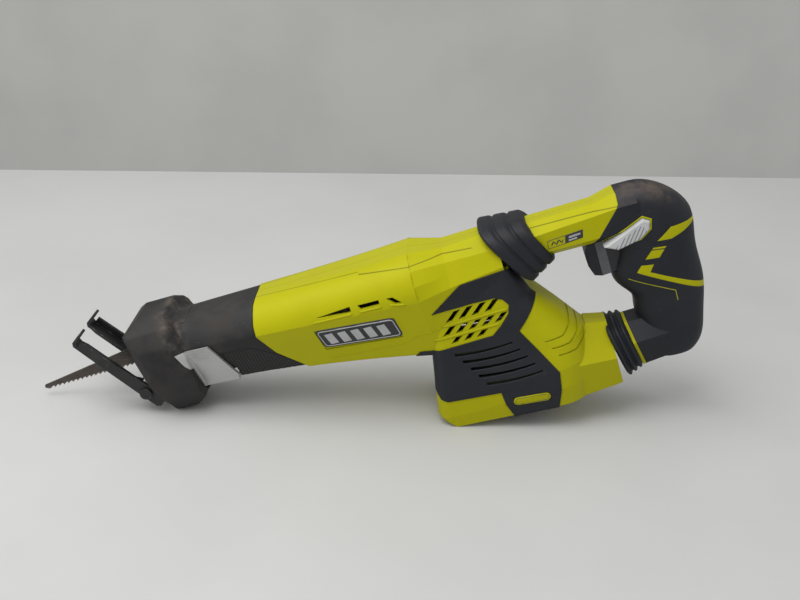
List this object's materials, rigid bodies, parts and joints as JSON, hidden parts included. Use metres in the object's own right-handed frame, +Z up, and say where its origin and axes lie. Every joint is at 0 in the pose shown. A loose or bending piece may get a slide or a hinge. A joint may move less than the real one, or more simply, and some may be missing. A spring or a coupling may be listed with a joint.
{
  "type": "cordless reciprocating saw",
  "caption": "Cordless reciprocating saw: long barrel body with battery dock, damped D-handle on bellows, trigger, front boot, fork shoe on a pivot, and a blade in a keyless clamp.",
  "frame": {"origin": "under the middle of the whole saw's bounding box, on the floor it rests on", "axes": "+Z up with the saw standing on its boot and dock toe, nose towards -X, the saw's left side towards -Y; the stroke axis rises 18.1 degrees towards +X"},
  "size_m": [0.5412, 0.0804, 0.1963],
  "materials": {
    "shell_plastic": "satin lime moulded plastic",
    "overmould_rubber": "matt soft overmould",
    "boot_rubber": "scuffed matt rubber",
    "plate_plastic": "matt",
    "lever_metal": "silver paint, worn",
    "steel": "machined",
    "shoe_steel": "blackened",
    "blade_steel": "dark, used",
    "cast_aluminium": "as cast",
    "bronze": "sintered",
    "magnet": "sintered",
    "inner_plastic": "glass filled",
    "trigger_plastic": "ridged",
    "lock_plastic": "silver grey"
  },
  "bodies": {
    "main_body": {"housing_left": "shell_plastic", "housing_right": "shell_plastic", "flank_rubber_left": "overmould_rubber", "flank_rubber_right": "overmould_rubber", "name_plates": "plate_plastic", "battery_badges": "shell_plastic", "front_boot": "boot_rubber", "lever_pin": "steel", "gearcase": "cast_aluminium", "gearcase_cover": "cast_aluminium", "gearcase_screws": "steel", "housing_screws": "steel", "spindle_front_bush": "bronze", "spindle_seal": "overmould_rubber", "spindle_rear_bush": "bronze", "crank_bearing": "steel", "motor_can": "steel", "motor_magnets": "magnet", "motor_end_cap": "inner_plastic", "motor_brushes": "magnet", "motor_front_bearing": "steel", "motor_rear_bearing": "steel", "bellows_upper": "overmould_rubber", "bellows_lower": "overmould_rubber", "damper_pads_upper": "overmould_rubber", "damper_pads_lower": "overmould_rubber", "battery_guide": "inner_plastic", "terminal_block": "inner_plastic", "battery_terminals": "bronze"},
    "handle": {"handle_left": "shell_plastic", "handle_right": "shell_plastic", "grip_rubber_left": "overmould_rubber", "grip_rubber_right": "overmould_rubber", "switch_module": "inner_plastic", "handle_screws": "steel", "trigger_spring": "steel", "handle_tongue_upper": "inner_plastic", "handle_tongue_lower": "inner_plastic"},
    "trigger": {"trigger": "trigger_plastic", "trigger_face": "overmould_rubber"},
    "lock_off": {"lock_off_button": "lock_plastic"},
    "spindle": {"spindle": "steel", "scotch_yoke": "steel", "crank_roller": "steel", "clamp_body": "steel", "clamp_pin": "steel", "blade": "blade_steel"},
    "clamp_sleeve": {"clamp_sleeve": "shoe_steel"},
    "crank": {"crank_wheel": "steel", "crank_pin": "steel", "crank_shaft": "steel"},
    "motor_rotor": {"motor_shaft": "steel", "armature_core": "steel", "commutator": "bronze", "cooling_fan": "inner_plastic", "motor_pinion": "steel"},
    "shoe_slide": {"shoe_post": "steel", "shoe_pin": "shoe_steel"},
    "shoe": {"shoe": "shoe_steel"},
    "release_lever": {"shoe_release_lever": "lever_metal"}
  },
  "joints": [
    {"name": "handle_isolation", "type": "slide", "parent": "main_body", "child": "handle", "axis": [0.9504, 0, 0.3111], "range_m": [-0.002, 0.002], "stiffness_N_per_m": 20000, "deforming": ["bellows_upper", "bellows_lower"]},
    {"name": "trigger_pull", "type": "slide", "parent": "handle", "child": "trigger", "axis": [0.9504, 0, 0.3111], "range_m": [0, 0.005], "stiffness_N_per_m": 700, "springref_m": -0.003, "deforming": ["trigger_spring"]},
    {"name": "lock_off_slide", "type": "slide", "parent": "handle", "child": "lock_off", "axis": [0, 1, 0], "range_m": [-0.0025, 0.0025], "stiffness_N_per_m": 800},
    {"name": "spindle_stroke", "type": "slide", "parent": "main_body", "child": "spindle", "axis": [0.9504, 0, 0.3111], "range_m": [-0.011, 0.011]},
    {"name": "clamp_sleeve_turn", "type": "hinge", "parent": "spindle", "child": "clamp_sleeve", "pos_m": [-0.13418, 0, 0.06046], "axis": [0.9504, 0, 0.3111], "range_deg": [0, 60], "stiffness_Nm_per_rad": 0.1, "springref_deg": -17.19},
    {"name": "motor_spin", "type": "hinge", "parent": "main_body", "child": "motor_rotor", "pos_m": [0.05264, 0, 0.10047], "axis": [0.9504, 0, 0.3111], "continuous": true},
    {"name": "crank_spin", "type": "hinge", "parent": "main_body", "child": "crank", "pos_m": [-0.04675, 0, 0.08909], "axis": [0.3111, 0, -0.9504], "continuous": true},
    {"name": "shoe_extend", "type": "slide", "parent": "main_body", "child": "shoe_slide", "axis": [-0.9504, 0, -0.3111], "range_m": [0, 0.025]},
    {"name": "shoe_tilt", "type": "hinge", "parent": "shoe_slide", "child": "shoe", "pos_m": [-0.1771, 0, 0.018], "axis": [0, 1, 0], "range_deg": [0, 22]},
    {"name": "lever_open", "type": "hinge", "parent": "main_body", "child": "release_lever", "pos_m": [-0.11581, -0.0125, 0.03649], "axis": [0.9504, 0, 0.3111], "range_deg": [0, 60], "stiffness_Nm_per_rad": 0.05, "springref_deg": -17.19}
  ],
  "couplings": [
    {"joint": "crank_spin", "follows": "motor_spin", "ratio": 0.19048}
  ]
}
